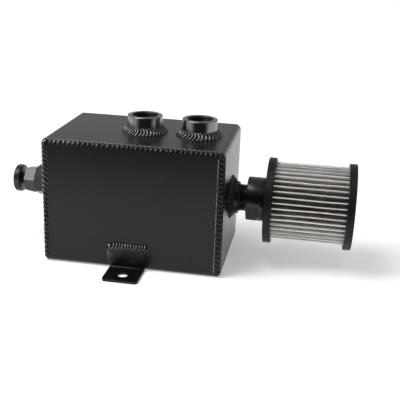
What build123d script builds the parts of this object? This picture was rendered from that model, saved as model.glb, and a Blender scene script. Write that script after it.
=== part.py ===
from build123d import *
import math
import os

# An oil catch can: a welded tank of two folded sheets with two open inlet ports on top, a breather
# filter that screws into one end, a drain tap at the other end and two tabs to bolt it down by.
# Millimetres. X runs from the drain end to the breather end, Y from the front wall to the rear wall,
# Z up. The origin is midway between the tabs' two holes, on the plane that the tabs bolt down to.
# The tank is drawn about its own middle, and the whole is then moved to that origin.

# Tank sheets
TANK_LENGTH = 150.0
TANK_DEPTH = 104.0
TANK_HEIGHT = 105.35
TANK_LIFT = 0.3  # from the bolting plane up to the tank's base
SHEET = 2.0
DRAIN_END_BEND = 3.5  # outside radius of the bend from the top to the drain-end wall
BREATHER_END_BEND = 5.0  # outside radius of the bend from the top to the breather-end wall
BODY_BEND = 4.0  # outside radius of the bends from the base to the front and rear walls
FITTING_RISE = 0.8  # of the breather's and the drain's axis above the tank's middle
EDGE_SETBACK = 3.2  # how far short of the tank's corners the sheets end, which leaves room for the beads

# Weld beads
BEAD_RADIUS = 4.0  # crest of a seam bead
BEAD_INSET = 3.7  # depth of a seam bead's centre line behind both faces that it joins
BASE_BEAD_RADIUS = 3.9  # of the dressed beads along the base
RIPPLE_PITCH = 4.0
RIPPLE_DEPTH = 0.5
RIPPLE_CREST = 0.35  # place of the crest along one ripple, as a share of it
RIPPLE_MARGIN = 0.05  # depth of the ripples' crests under the bead's round
SKIRT_LEG = 5.3  # reach of a bung's weld along the wall
PORT_SKIRT_RISE = 5.5  # reach of an inlet or drain bung's weld up the bung
BREATHER_SKIRT_RISE = 4.3
SKIRT_BULGE = 0.2  # how far the weld's face stands out from a straight cone
SKIRT_NOTCH = 0.45  # depth of the notches between the weld's ripples
TAB_BEAD_RADIUS = 3.6

# Tabs
TAB_SHEET = 2.0
TAB_X = -2.2  # from the middle of the tank
TAB_WIDTH = 29.4
TAB_REACH = 28.0  # from the wall to the free edge
TAB_LEG = 19.3  # from the bolting plane to the top of the welded leg
TAB_BEND = 3.0
TAB_CORNER = 3.0
TAB_HOLE_RADIUS = 4.5
TAB_HOLE_SETBACK = 11.7  # from the free edge to the hole's centre
TAB_BEAD_START = 7.0  # height at which the side bead starts

# Inlet and drain bungs
INLET_SETBACK = 29.5  # from the breather-end wall to the middle of the nearer inlet
INLET_SPACING = 47.0
BUNG_RADIUS = 14.9
BUNG_HEIGHT = 14.0
PORT_BORE_RADIUS = 10.25  # core of the 7/8-14 thread
PORT_LEAD = 1.0  # depth of the cone at the bore's mouth
EDGE_BREAK = 0.6
SHEET_HOLE_MARGIN = 1.0  # the hole in the sheet is this much wider than the bore

# Clearances
SCREW_FIT = 0.1  # radial, between a screwed piece and its bore
SEAT_GAP = 0.05  # between a seal and the faces that squeeze it
LOOSE_FIT = 0.3  # between the pleats, their caps and the support tube

# Breather bung, adapter and seal, along their axis from the end wall
BREATHER_BUNG_RADIUS = 13.9
BREATHER_BUNG_HEIGHT = 7.0
BREATHER_SPIGOT_RADIUS = 12.0
BREATHER_SPIGOT_REACH = 3.0  # past the sheet's inner face
BREATHER_SEAL_THICKNESS = 1.2
NECK_RADIUS = 11.3
NECK_LENGTH = 5.8
COLLAR_RADIUS = 18.6
COLLAR_LENGTH = 16.3
FLAT_DISTANCE = 32.0  # across the two wrench flats
FLAT_LENGTH = 9.0
FLAT_TILT = 35.0  # degrees that the front flat faces down
AIR_BORE_RADIUS = 8.0
ADAPTER_SPIGOT_RADIUS = 13.0

# Filter
CAP_RADIUS = 36.2
CAP_LENGTH = 6.4
CAP_FLOOR = 2.4
CAP_ROUND = 0.6
MESH_LENGTH = 60.3  # between the caps
ELEMENT_RADIUS = 33.0
PLEAT_COUNT = 43
PLEAT_DEPTH = 9.5
PLEAT_HALF_WIDTH = 0.9  # of a ridge, half way round
MESH_THICKNESS = 0.6
CORE_WALL = 1.0
CORE_HOLE_RADIUS = 3.0
CORE_HOLE_ROWS = 6
CORE_HOLES_ROUND = 10

# Drain adapter, valve, stem and knob, along their axis from the drain-end wall
DRAIN_SEAL_THICKNESS = 0.8
DRAIN_SEAL_WIDTH = 1.5
ADAPTER_HEX = 24.0  # across flats
ADAPTER_HEX_LENGTH = 8.0
ADAPTER_HEX_TURN = 30.0  # degrees that one corner stands above the front
ADAPTER_CHAMFER = 1.8  # on the hexagon's corners beside the valve
ADAPTER_STUB = 12.0
ADAPTER_FLOW_RADIUS = 4.5
VALVE_CORNER_INNER = 12.6  # corner radius of the tapered hexagon beside the adapter
VALVE_CORNER_OUTER = 11.2
VALVE_LENGTH = 10.1
VALVE_TURN = 8.7
VALVE_STUB_RADIUS = 6.5
VALVE_STUB = 9.0
VALVE_WALL = 2.0  # from the stub's inner end to the cone seat
FLOW_RADIUS = 2.0
STEM_THREAD_RADIUS = 3.9
SEAT_CHAMBER = 4.0  # length of the relieved bore past the seat
CHAMBER_RELIEF = 0.6
THREAD_LENGTH = 4.0
STEM_HEAD_RADIUS = 4.9
STEM_TRAVEL = 2.0  # how far the stem moves out when the tap is open
GLAND_ROOM = 0.5  # end play between the stem's shoulder and the bore's step
STEM_RING_RADIUS = 0.8
STEM_BORE_RADIUS = 1.6
CROSS_HOLE_RADIUS = 1.1
KNOB_GAP = 3.6
KNOB_RADIUS = 12.0
KNOB_THICKNESS = 5.8
KNOB_ROUND = 1.4
KNOB_SEAT_RADIUS = 3.2
KNURL_COUNT = 48
KNURL_DEPTH = 0.35

# Baffle plate inside the tank
BAFFLE_SETBACK = 12.0  # from the breather-end wall to the plate's nearer face
BAFFLE_SHEET = 1.5
BAFFLE_FLANGE = 10.0
BAFFLE_BEND = 2.5
BAFFLE_CORNER = 6.0
BAFFLE_HOLE_RADIUS = 5.0
BAFFLE_HOLE_PITCH = 18.0
BAFFLE_HOLES = 4  # along each side of the square pattern

# Worked out from the sizes above
HALF_LENGTH = TANK_LENGTH / 2
HALF_DEPTH = TANK_DEPTH / 2
TANK_BASE = TANK_LIFT
TANK_TOP = TANK_BASE + TANK_HEIGHT
TANK_MIDDLE = TANK_BASE + TANK_HEIGHT / 2
AXIS_HEIGHT = TANK_MIDDLE + FITTING_RISE
BAFFLE_X = HALF_LENGTH - BAFFLE_SETBACK
WALL_INSIDE = HALF_DEPTH - SHEET
BEAD_ROOT = BEAD_RADIUS - RIPPLE_DEPTH
SHEET_HOLE_RADIUS = PORT_BORE_RADIUS + SHEET_HOLE_MARGIN
STUB_RADIUS = PORT_BORE_RADIUS - SCREW_FIT
ELEMENT_INSIDE = ELEMENT_RADIUS - PLEAT_DEPTH
CAP_RECESS_RADIUS = ELEMENT_RADIUS + LOOSE_FIT
NECK_START = BREATHER_BUNG_HEIGHT + BREATHER_SEAL_THICKNESS
COLLAR_START = NECK_START + NECK_LENGTH
BASE_CAP_START = COLLAR_START + COLLAR_LENGTH
MESH_START = BASE_CAP_START + CAP_LENGTH
END_CAP_START = MESH_START + MESH_LENGTH
ELEMENT_START = BASE_CAP_START + CAP_FLOOR
ELEMENT_LENGTH = END_CAP_START + CAP_LENGTH - CAP_FLOOR - ELEMENT_START
DRAIN_HEX_START = BUNG_HEIGHT + DRAIN_SEAL_THICKNESS
VALVE_START = DRAIN_HEX_START + ADAPTER_HEX_LENGTH
VALVE_END = VALVE_START + VALVE_LENGTH
VALVE_INNER_END = VALVE_START - VALVE_STUB
SEAT_HEIGHT = VALVE_INNER_END + VALVE_WALL
THREAD_BORE_RADIUS = STEM_THREAD_RADIUS + SCREW_FIT
HEAD_BORE_RADIUS = STEM_HEAD_RADIUS + SCREW_FIT
CHAMBER_START = SEAT_HEIGHT + THREAD_BORE_RADIUS - FLOW_RADIUS
THREAD_START = CHAMBER_START + SEAT_CHAMBER
HEAD_BORE_START = THREAD_START + THREAD_LENGTH
KNOB_START = VALVE_END + KNOB_GAP
KNOB_END = KNOB_START + KNOB_THICKNESS

# Places on the tank's walls: local Z points out of the wall, from its outer face
BREATHER_END = Pos(HALF_LENGTH, 0, AXIS_HEIGHT) * Rot(0, 90, 0)
DRAIN_END = Pos(-HALF_LENGTH, 0, AXIS_HEIGHT) * Rot(0, -90, 0)
INLETS = {
    "drain_side": Pos(HALF_LENGTH - INLET_SETBACK - INLET_SPACING, 0, TANK_TOP),
    "breather_side": Pos(HALF_LENGTH - INLET_SETBACK, 0, TANK_TOP),
}


def turned(points):
    """A solid turned about Z from (radius, height) points."""
    outline = Polyline(*[(radius, 0, height) for radius, height in points], close=True)
    return revolve(make_face(outline), Axis.Z)


def ring(inner, outer, low, high):
    """A plain turned ring about Z."""
    return turned([(inner, low), (outer, low), (outer, high), (inner, high)])


def tank_arch(inset):
    """The tank seen from the front, drawn in from its ends and its top by the inset."""
    low, high = TANK_BASE, TANK_TOP - inset
    face = Pos(0, (low + high) / 2) * Rectangle(TANK_LENGTH - 2 * inset, high - low)
    for end, bend in ((0, DRAIN_END_BEND), (-1, BREATHER_END_BEND)):
        if bend > inset:
            corner = face.vertices().group_by(Axis.Y)[-1].sort_by(Axis.X)[end]
            face = fillet(corner, bend - inset)
    return face


def tank_trough(inset):
    """The tank seen from one end, drawn in from its front, its rear and its base by the inset."""
    low, high = TANK_BASE + inset, TANK_TOP
    face = Pos(0, (low + high) / 2) * Rectangle(TANK_DEPTH - 2 * inset, high - low)
    if BODY_BEND > inset:
        face = fillet(face.vertices().group_by(Axis.Y)[0], BODY_BEND - inset)
    return face


def along_depth(face, half):
    """A face in X and Z, extruded equally to the front and the rear."""
    return extrude(Plane.XZ * face, half, both=True)


def along_length(face, half):
    """A face in Y and Z, extruded equally to both ends."""
    return extrude(Plane.YZ * face, half, both=True)


# Tank


def body_block():
    """The body sheet's outside, filled in."""
    block = along_length(tank_trough(0), HALF_LENGTH - EDGE_SETBACK)
    return block & along_depth(tank_arch(EDGE_SETBACK), HALF_DEPTH)


def cover_block():
    """The cover sheet's outside, filled in."""
    block = along_depth(tank_arch(0), HALF_DEPTH - EDGE_SETBACK)
    return block & along_length(tank_trough(EDGE_SETBACK), HALF_LENGTH)


def body_sheet():
    """Front wall, base and rear wall in one folded sheet."""
    return body_block() - along_length(tank_trough(SHEET), HALF_LENGTH)


def cover_sheet():
    """Both end walls and the top in one folded sheet, with the holes under the bungs."""
    sheet = cover_block() - along_depth(tank_arch(SHEET), HALF_DEPTH)
    port_hole = Cylinder(SHEET_HOLE_RADIUS, 4 * SHEET)
    holes = [place * port_hole for place in [*INLETS.values(), DRAIN_END]]
    holes.append(BREATHER_END * Cylinder(BREATHER_SPIGOT_RADIUS + SCREW_FIT, 4 * SHEET))
    return sheet - holes


# Welds


def bead_run(length, radius, facing):
    """A straight bead along Z from 0 to its length, rippled on the side that faces the angle from +X."""
    count = max(1, round(length / RIPPLE_PITCH))
    pitch = length / count
    crest = radius - RIPPLE_MARGIN
    root = crest - RIPPLE_DEPTH
    edge = [(root, 0)]
    for i in range(count):
        edge.append((crest, (i + RIPPLE_CREST) * pitch))
        edge.append((root, (i + 1) * pitch))
    profile = make_face(Polyline((-2 * radius, 0), *edge, (-2 * radius, length), close=True))
    upward = (Align.CENTER, Align.CENTER, Align.MIN)
    bead = along_depth(profile, 2 * radius) & Cylinder(radius, length, align=upward)
    return Rot(0, 0, facing) * bead


def bead_corner(path_radius, bead_radius):
    """A quarter turn of plain bead about Z, from +X towards +Y."""
    reach = path_radius + bead_radius
    section = Pos(path_radius, 0) * Circle(bead_radius)
    section &= Pos(reach, 0) * Rectangle(2 * reach, 4 * bead_radius)
    return revolve(Plane.XZ * section, Axis.Z, 90)


def seam_weld(front):
    """The bead up both sides and along the top of the front or the rear wall."""
    side = HALF_LENGTH - BEAD_INSET
    top = TANK_TOP - BEAD_INSET
    low = TANK_BASE + max(BODY_BEND, BEAD_INSET)
    depth = (BEAD_INSET - HALF_DEPTH) if front else (HALF_DEPTH - BEAD_INSET)
    drain_turn = max(DRAIN_END_BEND - BEAD_INSET, 0)
    breather_turn = max(BREATHER_END_BEND - BEAD_INSET, 0)
    outward = -1 if front else 1
    level = bead_run(2 * side - drain_turn - breather_turn, BEAD_RADIUS, outward * 135)
    bead = Pos(drain_turn - side, depth, top) * Rot(0, 90, 0) * level
    for end, turn, quarter, facing in ((-1, drain_turn, -90, 135), (1, breather_turn, 0, 45)):
        corner = Rot(0, quarter, 0) * Rot(90, 0, 0) * bead_corner(turn, BEAD_ROOT)
        bead += Pos(end * side, depth, low) * bead_run(top - turn - low, BEAD_RADIUS, outward * facing)
        bead += Pos(end * (side - turn), depth, top - turn) * corner
    return bead - [cover_block(), body_block()]


def base_weld(end):
    """The dressed bead along the bottom of one end wall and round its two lower corners; end is -1 or 1."""
    turn = max(BODY_BEND - BEAD_INSET, 0)
    side = end * (HALF_LENGTH - BEAD_INSET)
    depth = HALF_DEPTH - BEAD_INSET - turn
    height = TANK_BASE + BEAD_INSET
    corner = Rot(0, 90, 0) * bead_corner(turn, BASE_BEAD_RADIUS)
    bead = Pos(side, 0, height) * Rot(90, 0, 0) * Cylinder(BASE_BEAD_RADIUS, 2 * depth)
    bead += Pos(side, depth, height + turn) * corner
    bead += Pos(side, -depth, height + turn) * Rot(-90, 0, 0) * corner
    return bead - [cover_block(), body_block()]


def skirt_weld(bung_radius, rise):
    """The fillet weld round the foot of a bung, notched into ripples."""
    foot = bung_radius + SKIRT_LEG
    middle = ((bung_radius + foot) / 2 + SKIRT_BULGE, rise / 2 + SKIRT_BULGE)
    face = Polyline((foot, 0), (bung_radius, 0), (bung_radius, rise))
    face += ThreePointArc((bung_radius, rise), middle, (foot, 0))
    weld = revolve(make_face(Plane.XZ * face), Axis.Z)
    count = round(2 * math.pi * foot / RIPPLE_PITCH)
    slope = math.degrees(math.atan2(rise, SKIRT_LEG))
    notch = Rot(0, slope, 0) * Box(4 * SKIRT_LEG, SKIRT_NOTCH, 2 * SKIRT_NOTCH)
    notch = Pos(middle[0], 0, middle[1]) * notch
    return weld - [Rot(0, 0, 360 * i / count) * notch for i in range(count)]


def tab_weld(front):
    """The bead up one side and along the top of a tab's leg."""
    turn = 180 if front else 0
    half = TAB_WIDTH / 2
    upright = bead_run(TAB_LEG - TAB_BEAD_START, TAB_BEAD_RADIUS, 45)
    level = bead_run(TAB_WIDTH, TAB_BEAD_RADIUS, 135)
    bead = Pos(-half, 0, TAB_LEG) * Rot(0, 90, 0) * level
    bead += Pos(half, 0, TAB_BEAD_START) * upright
    for x in (-half, half):
        bead += Pos(x, 0, TAB_LEG) * Sphere(TAB_BEAD_RADIUS - RIPPLE_DEPTH)
    bead -= Pos(0, -TAB_LEG, TAB_LEG) * Box(4 * TAB_WIDTH, 2 * TAB_LEG, 4 * TAB_LEG)
    bead -= Pos(0, TAB_SHEET / 2, TAB_LEG / 2) * Box(TAB_WIDTH, TAB_SHEET, TAB_LEG)
    return Pos(TAB_X, -HALF_DEPTH if front else HALF_DEPTH, 0) * Rot(0, 0, turn) * bead


# Tabs and bungs


def tab(front):
    """An L of bent sheet: a leg on the wall and a foot with one bolt hole."""
    outer = trough_corner(TAB_REACH, TAB_LEG, TAB_BEND)
    inner = Pos(TAB_SHEET, TAB_SHEET) * trough_corner(TAB_REACH, TAB_LEG, TAB_BEND - TAB_SHEET)
    bracket = along_length(outer - inner, TAB_WIDTH / 2)
    free_edges = bracket.edges().filter_by(Axis.Z).group_by(Axis.Y)[-1]
    bracket = fillet(free_edges, TAB_CORNER)
    bracket -= Pos(0, TAB_REACH - TAB_HOLE_SETBACK, 0) * Cylinder(TAB_HOLE_RADIUS, 4 * TAB_SHEET)
    turn = 180 if front else 0
    return Pos(TAB_X, -HALF_DEPTH if front else HALF_DEPTH, 0) * Rot(0, 0, turn) * bracket


def trough_corner(width, height, radius):
    """A rectangle from the origin with the corner at the origin rounded."""
    face = Pos(width / 2, height / 2) * Rectangle(width, height)
    corner = face.vertices().sort_by_distance((0, 0, 0))[0]
    return fillet(corner, radius)


def port_bung():
    """A turned bung with a tapped bore, flat on the sheet."""
    bore = PORT_BORE_RADIUS
    return turned(
        [
            (bore, 0),
            (BUNG_RADIUS, 0),
            (BUNG_RADIUS, BUNG_HEIGHT - EDGE_BREAK),
            (BUNG_RADIUS - EDGE_BREAK, BUNG_HEIGHT),
            (bore + PORT_LEAD, BUNG_HEIGHT),
            (bore, BUNG_HEIGHT - PORT_LEAD),
        ]
    )


def breather_bung():
    """A shorter bung with a spigot through the end wall."""
    bore = PORT_BORE_RADIUS
    return turned(
        [
            (bore, -SHEET - BREATHER_SPIGOT_REACH),
            (BREATHER_SPIGOT_RADIUS, -SHEET - BREATHER_SPIGOT_REACH),
            (BREATHER_SPIGOT_RADIUS, 0),
            (BREATHER_BUNG_RADIUS, 0),
            (BREATHER_BUNG_RADIUS, BREATHER_BUNG_HEIGHT - EDGE_BREAK),
            (BREATHER_BUNG_RADIUS - EDGE_BREAK, BREATHER_BUNG_HEIGHT),
            (bore, BREATHER_BUNG_HEIGHT),
        ]
    )


def baffle():
    """A perforated plate with two folded flanges that lie on the front and rear walls."""
    section = Rectangle(BAFFLE_FLANGE, 2 * WALL_INSIDE)
    section = fillet(section.vertices().group_by(Axis.X)[-1], BAFFLE_BEND)
    hollow = Pos(-BAFFLE_SHEET, 0) * Rectangle(BAFFLE_FLANGE, 2 * (WALL_INSIDE - BAFFLE_SHEET))
    hollow = fillet(hollow.vertices().group_by(Axis.X)[-1], BAFFLE_BEND - BAFFLE_SHEET)
    height = TANK_HEIGHT - 2 * SHEET
    plate = extrude(section - hollow, height / 2, both=True)
    plate = Pos(BAFFLE_X - BAFFLE_FLANGE / 2, 0, TANK_MIDDLE) * plate
    outline = chamfer(Rectangle(2 * WALL_INSIDE, height).vertices(), BAFFLE_CORNER)
    plate &= Pos(0, 0, TANK_MIDDLE) * along_length(outline, HALF_LENGTH)
    hole = Rot(0, 90, 0) * Cylinder(BAFFLE_HOLE_RADIUS, 4 * BAFFLE_FLANGE)
    half = (BAFFLE_HOLES - 1) / 2 * BAFFLE_HOLE_PITCH
    steps = [i * BAFFLE_HOLE_PITCH - half for i in range(BAFFLE_HOLES)]
    return plate - [Pos(BAFFLE_X, y, TANK_MIDDLE + z) * hole for y in steps for z in steps]


# Breather filter


def breather_adapter():
    """The turned piece that the filter screws in by: stub, neck, collar with two flats, spigot."""
    stub_end = -SHEET - BREATHER_SPIGOT_REACH
    collar_end = BASE_CAP_START
    piece = turned(
        [
            (AIR_BORE_RADIUS, stub_end),
            (STUB_RADIUS, stub_end),
            (STUB_RADIUS, NECK_START),
            (NECK_RADIUS, NECK_START),
            (NECK_RADIUS, COLLAR_START),
            (COLLAR_RADIUS - EDGE_BREAK, COLLAR_START),
            (COLLAR_RADIUS, COLLAR_START + EDGE_BREAK),
            (COLLAR_RADIUS, collar_end),
            (ADAPTER_SPIGOT_RADIUS, collar_end),
            (ADAPTER_SPIGOT_RADIUS, collar_end + CAP_FLOOR),
            (AIR_BORE_RADIUS, collar_end + CAP_FLOOR),
        ]
    )
    block = Box(COLLAR_RADIUS, 4 * COLLAR_RADIUS, 2 * FLAT_LENGTH)
    reach = (FLAT_DISTANCE + COLLAR_RADIUS) / 2
    for side in (-1, 1):
        piece -= Pos(0, 0, COLLAR_START) * Rot(0, 0, FLAT_TILT - 90) * Pos(side * reach, 0, 0) * block
    return piece


def breather_seal():
    """The flat ring that the neck squeezes against the bung."""
    low = BREATHER_BUNG_HEIGHT + SEAT_GAP
    return ring(STUB_RADIUS + LOOSE_FIT, NECK_RADIUS + LOOSE_FIT, low, NECK_START - SEAT_GAP)


def cap_cup(hole_radius):
    """A cap that holds one end of the pleats, with its floor at height 0."""
    cup = turned([(hole_radius, 0), (CAP_RADIUS, 0), (CAP_RADIUS, CAP_LENGTH), (hole_radius, CAP_LENGTH)])
    cup = fillet(cup.edges().filter_by(GeomType.CIRCLE).group_by(SortBy.RADIUS)[-1], CAP_ROUND)
    return cup - ring(0, CAP_RECESS_RADIUS, CAP_FLOOR, 2 * CAP_LENGTH)


def base_cap():
    """The cap at the adapter, with a hole for its spigot."""
    return Pos(0, 0, BASE_CAP_START) * cap_cup(ADAPTER_SPIGOT_RADIUS + SEAT_GAP)


def end_cap():
    """The closed cap at the free end."""
    return Pos(0, 0, END_CAP_START + CAP_LENGTH) * Rot(180, 0, 0) * cap_cup(0)


def pleat_loop(ridge_radius, ridge_half, valley_radius, valley_half):
    """A closed zigzag round Z, with flat ridges and flat valleys."""
    points = []
    for i in range(2 * PLEAT_COUNT):
        angle = math.pi * i / PLEAT_COUNT
        radius, half = ((ridge_radius, ridge_half), (valley_radius, valley_half))[i % 2]
        out = (math.cos(angle), math.sin(angle))
        for shift in (-half, half):
            points.append((radius * out[0] - shift * out[1], radius * out[1] + shift * out[0]))
    return make_face(Polyline(*points, close=True))


def pleated_element():
    """One sheet of mesh folded into pleats all the way round."""
    fold = PLEAT_HALF_WIDTH - MESH_THICKNESS
    outside = pleat_loop(ELEMENT_RADIUS, PLEAT_HALF_WIDTH, ELEMENT_INSIDE + MESH_THICKNESS, fold)
    inside = pleat_loop(ELEMENT_RADIUS - MESH_THICKNESS, fold, ELEMENT_INSIDE, PLEAT_HALF_WIDTH)
    return Pos(0, 0, ELEMENT_START) * extrude(outside - inside, ELEMENT_LENGTH)


def support_core():
    """The perforated tube that the pleats lean on."""
    outer = ELEMENT_INSIDE - LOOSE_FIT
    tube = ring(outer - CORE_WALL, outer, ELEMENT_START, ELEMENT_START + ELEMENT_LENGTH)
    outward = (Align.CENTER, Align.CENTER, Align.MIN)
    hole = Rot(0, 90, 0) * Cylinder(CORE_HOLE_RADIUS, 2 * outer, align=outward)
    row_pitch = ELEMENT_LENGTH / (CORE_HOLE_ROWS + 1)
    holes = []
    for row in range(CORE_HOLE_ROWS):
        height = ELEMENT_START + (row + 1) * row_pitch
        stagger = 0.5 * (row % 2)
        for i in range(CORE_HOLES_ROUND):
            holes.append(Pos(0, 0, height) * Rot(0, 0, 360 * (i + stagger) / CORE_HOLES_ROUND) * hole)
    return tube - holes


# Drain tap


def drain_seal():
    """The flat ring between the bung and the adapter's hexagon."""
    inner = STUB_RADIUS + LOOSE_FIT
    return ring(inner, inner + DRAIN_SEAL_WIDTH, BUNG_HEIGHT, DRAIN_HEX_START)


def drain_adapter():
    """A hexagon with a stub that screws into the bung and a tapped bore for the valve."""
    corner = ADAPTER_HEX / math.sqrt(3)
    bore = VALVE_STUB_RADIUS + SCREW_FIT
    hexagon = RegularPolygon(corner, 6, rotation=ADAPTER_HEX_TURN - 90)
    piece = Pos(0, 0, DRAIN_HEX_START) * extrude(hexagon, ADAPTER_HEX_LENGTH)
    piece &= turned(
        [
            (0, DRAIN_HEX_START),
            (corner, DRAIN_HEX_START),
            (corner, VALVE_START - ADAPTER_CHAMFER),
            (corner - ADAPTER_CHAMFER, VALVE_START),
            (0, VALVE_START),
        ]
    )
    piece += ring(ADAPTER_FLOW_RADIUS, STUB_RADIUS, DRAIN_HEX_START - ADAPTER_STUB, DRAIN_HEX_START)
    return piece - ring(0, bore, VALVE_INNER_END, VALVE_START)


def drain_valve_body():
    """A tapered hexagon with the cone seat, the stem's thread and its gland bored in line."""
    low = Pos(0, 0, VALVE_START) * RegularPolygon(VALVE_CORNER_INNER, 6, rotation=VALVE_TURN - 90)
    high = Pos(0, 0, VALVE_END) * RegularPolygon(VALVE_CORNER_OUTER, 6, rotation=VALVE_TURN - 90)
    piece = loft([low, high])
    piece += ring(0, VALVE_STUB_RADIUS, VALVE_INNER_END, VALVE_START)
    chamber = THREAD_BORE_RADIUS + CHAMBER_RELIEF
    return piece - turned(
        [
            (0, VALVE_INNER_END),
            (FLOW_RADIUS, VALVE_INNER_END),
            (FLOW_RADIUS, SEAT_HEIGHT),
            (THREAD_BORE_RADIUS, CHAMBER_START),
            (chamber, CHAMBER_START),
            (chamber, THREAD_START),
            (THREAD_BORE_RADIUS, THREAD_START),
            (THREAD_BORE_RADIUS, HEAD_BORE_START),
            (HEAD_BORE_RADIUS, HEAD_BORE_START),
            (HEAD_BORE_RADIUS, VALVE_END),
            (0, VALVE_END),
        ]
    )


def ring_height():
    """The height of the middle of the stem's o-ring groove."""
    return (HEAD_BORE_START + GLAND_ROOM + VALVE_END - STEM_TRAVEL) / 2


def drain_stem():
    """A hollow screw: cone tip, thread, grooved head and the journal that carries the knob."""
    tip = SEAT_HEIGHT + SCREW_FIT
    groove = STEM_RING_RADIUS + SEAT_GAP
    groove_floor = STEM_HEAD_RADIUS - 2 * STEM_RING_RADIUS - SEAT_GAP
    shoulder = HEAD_BORE_START + GLAND_ROOM
    piece = turned(
        [
            (0, tip),
            (FLOW_RADIUS - SCREW_FIT, tip),
            (STEM_THREAD_RADIUS, tip + STEM_THREAD_RADIUS - FLOW_RADIUS + SCREW_FIT),
            (STEM_THREAD_RADIUS, shoulder),
            (STEM_HEAD_RADIUS, shoulder),
            (STEM_HEAD_RADIUS, ring_height() - groove),
            (groove_floor, ring_height() - groove),
            (groove_floor, ring_height() + groove),
            (STEM_HEAD_RADIUS, ring_height() + groove),
            (STEM_HEAD_RADIUS, KNOB_START),
            (KNOB_SEAT_RADIUS, KNOB_START),
            (KNOB_SEAT_RADIUS, KNOB_END),
            (0, KNOB_END),
        ]
    )
    cross_height = CHAMBER_START + SEAT_CHAMBER / 2
    piece -= ring(0, STEM_BORE_RADIUS, cross_height, KNOB_END)
    cross_hole = Rot(90, 0, 0) * Cylinder(CROSS_HOLE_RADIUS, 4 * STEM_HEAD_RADIUS)
    return piece - Pos(0, 0, cross_height) * cross_hole


def stem_ring():
    """The o-ring in the stem's groove."""
    middle = STEM_HEAD_RADIUS - STEM_RING_RADIUS
    return Pos(0, 0, ring_height()) * Torus(middle, STEM_RING_RADIUS)


def drain_knob():
    """A round disc with a finely grooved rim, seated on the stem's shoulder."""
    knob = ring(KNOB_SEAT_RADIUS + SEAT_GAP, KNOB_RADIUS, KNOB_START, KNOB_END)
    knob = fillet(knob.edges().filter_by(GeomType.CIRCLE).group_by(SortBy.RADIUS)[-1], KNOB_ROUND)
    side = KNURL_DEPTH * math.sqrt(2)
    groove = Rot(0, 0, 45) * Box(side, side, 2 * KNOB_THICKNESS)
    groove = Pos(KNOB_RADIUS, 0, KNOB_START) * groove
    return knob - [Rot(0, 0, 360 * i / KNURL_COUNT) * groove for i in range(KNURL_COUNT)]


# All pieces by name


def pieces():
    """Every piece of the catch can in its place, about the middle of the tabs."""
    port = port_bung()
    port_weld = skirt_weld(BUNG_RADIUS, PORT_SKIRT_RISE)
    breather_weld = skirt_weld(BREATHER_BUNG_RADIUS, BREATHER_SKIRT_RISE)
    found = {
        "body_sheet": body_sheet(),
        "cover_sheet": cover_sheet(),
        "baffle_plate": baffle(),
        "front_seam_weld": seam_weld(front=True),
        "rear_seam_weld": seam_weld(front=False),
        "base_weld_drain_end": base_weld(-1),
        "base_weld_breather_end": base_weld(1),
        "front_tab": tab(front=True),
        "rear_tab": tab(front=False),
        "front_tab_weld": tab_weld(front=True),
        "rear_tab_weld": tab_weld(front=False),
        "breather_bung": BREATHER_END * breather_bung(),
        "breather_bung_weld": BREATHER_END * breather_weld,
        "drain_bung": DRAIN_END * port,
        "drain_bung_weld": DRAIN_END * port_weld,
        "breather_adapter": BREATHER_END * breather_adapter(),
        "breather_seal": BREATHER_END * breather_seal(),
        "filter_base_cap": BREATHER_END * base_cap(),
        "filter_end_cap": BREATHER_END * end_cap(),
        "filter_element": BREATHER_END * pleated_element(),
        "filter_core": BREATHER_END * support_core(),
        "drain_seal": DRAIN_END * drain_seal(),
        "drain_adapter": DRAIN_END * drain_adapter(),
        "drain_valve_body": DRAIN_END * drain_valve_body(),
        "drain_stem": DRAIN_END * drain_stem(),
        "drain_stem_ring": DRAIN_END * stem_ring(),
        "drain_knob": DRAIN_END * drain_knob(),
    }
    for side, place in INLETS.items():
        found[f"inlet_bung_{side}"] = place * port
        found[f"inlet_weld_{side}"] = place * port_weld
    return {name: Pos(-TAB_X, 0, 0) * piece for name, piece in found.items()}


os.makedirs("parts", exist_ok=True)
for name, piece in pieces().items():
    export_step(piece, f"parts/{name}.step")
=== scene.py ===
import bisect
import math
import random
from typing import NamedTuple

import bmesh
import bpy
from mathutils import Matrix, Vector


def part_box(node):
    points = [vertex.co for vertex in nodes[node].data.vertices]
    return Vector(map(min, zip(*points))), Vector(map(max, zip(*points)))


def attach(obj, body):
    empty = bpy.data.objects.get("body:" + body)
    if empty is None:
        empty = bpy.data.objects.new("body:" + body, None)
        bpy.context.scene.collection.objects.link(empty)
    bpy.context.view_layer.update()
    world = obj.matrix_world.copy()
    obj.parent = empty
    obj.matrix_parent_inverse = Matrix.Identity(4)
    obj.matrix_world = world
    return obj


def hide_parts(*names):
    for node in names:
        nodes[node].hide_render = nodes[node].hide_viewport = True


# The looks of an oil catch can: rippled welds, tapped ports, a pleated wire filter and the finishes.
# Lengths are metres in the frame of the solids: X to the filter, Y to the rear, Z up.
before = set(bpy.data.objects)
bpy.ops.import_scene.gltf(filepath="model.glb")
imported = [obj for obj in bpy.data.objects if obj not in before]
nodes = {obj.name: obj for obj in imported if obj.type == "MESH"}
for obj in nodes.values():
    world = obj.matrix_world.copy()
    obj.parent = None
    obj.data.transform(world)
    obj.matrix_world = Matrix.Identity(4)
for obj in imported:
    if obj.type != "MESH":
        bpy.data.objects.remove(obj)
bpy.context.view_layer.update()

MM = 0.001
SHARP_ANGLE = math.radians(40)  # a fold steeper than this is an edge

# Places taken from the solids
TANK_LOW, TANK_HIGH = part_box("cover_sheet")
FRONT_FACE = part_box("body_sheet")[0].y
REAR_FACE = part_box("body_sheet")[1].y
TANK_MIDDLE_X = (TANK_LOW.x + TANK_HIGH.x) / 2
AXIS_HEIGHT = sum(corner.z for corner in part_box("filter_end_cap")) / 2

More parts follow.
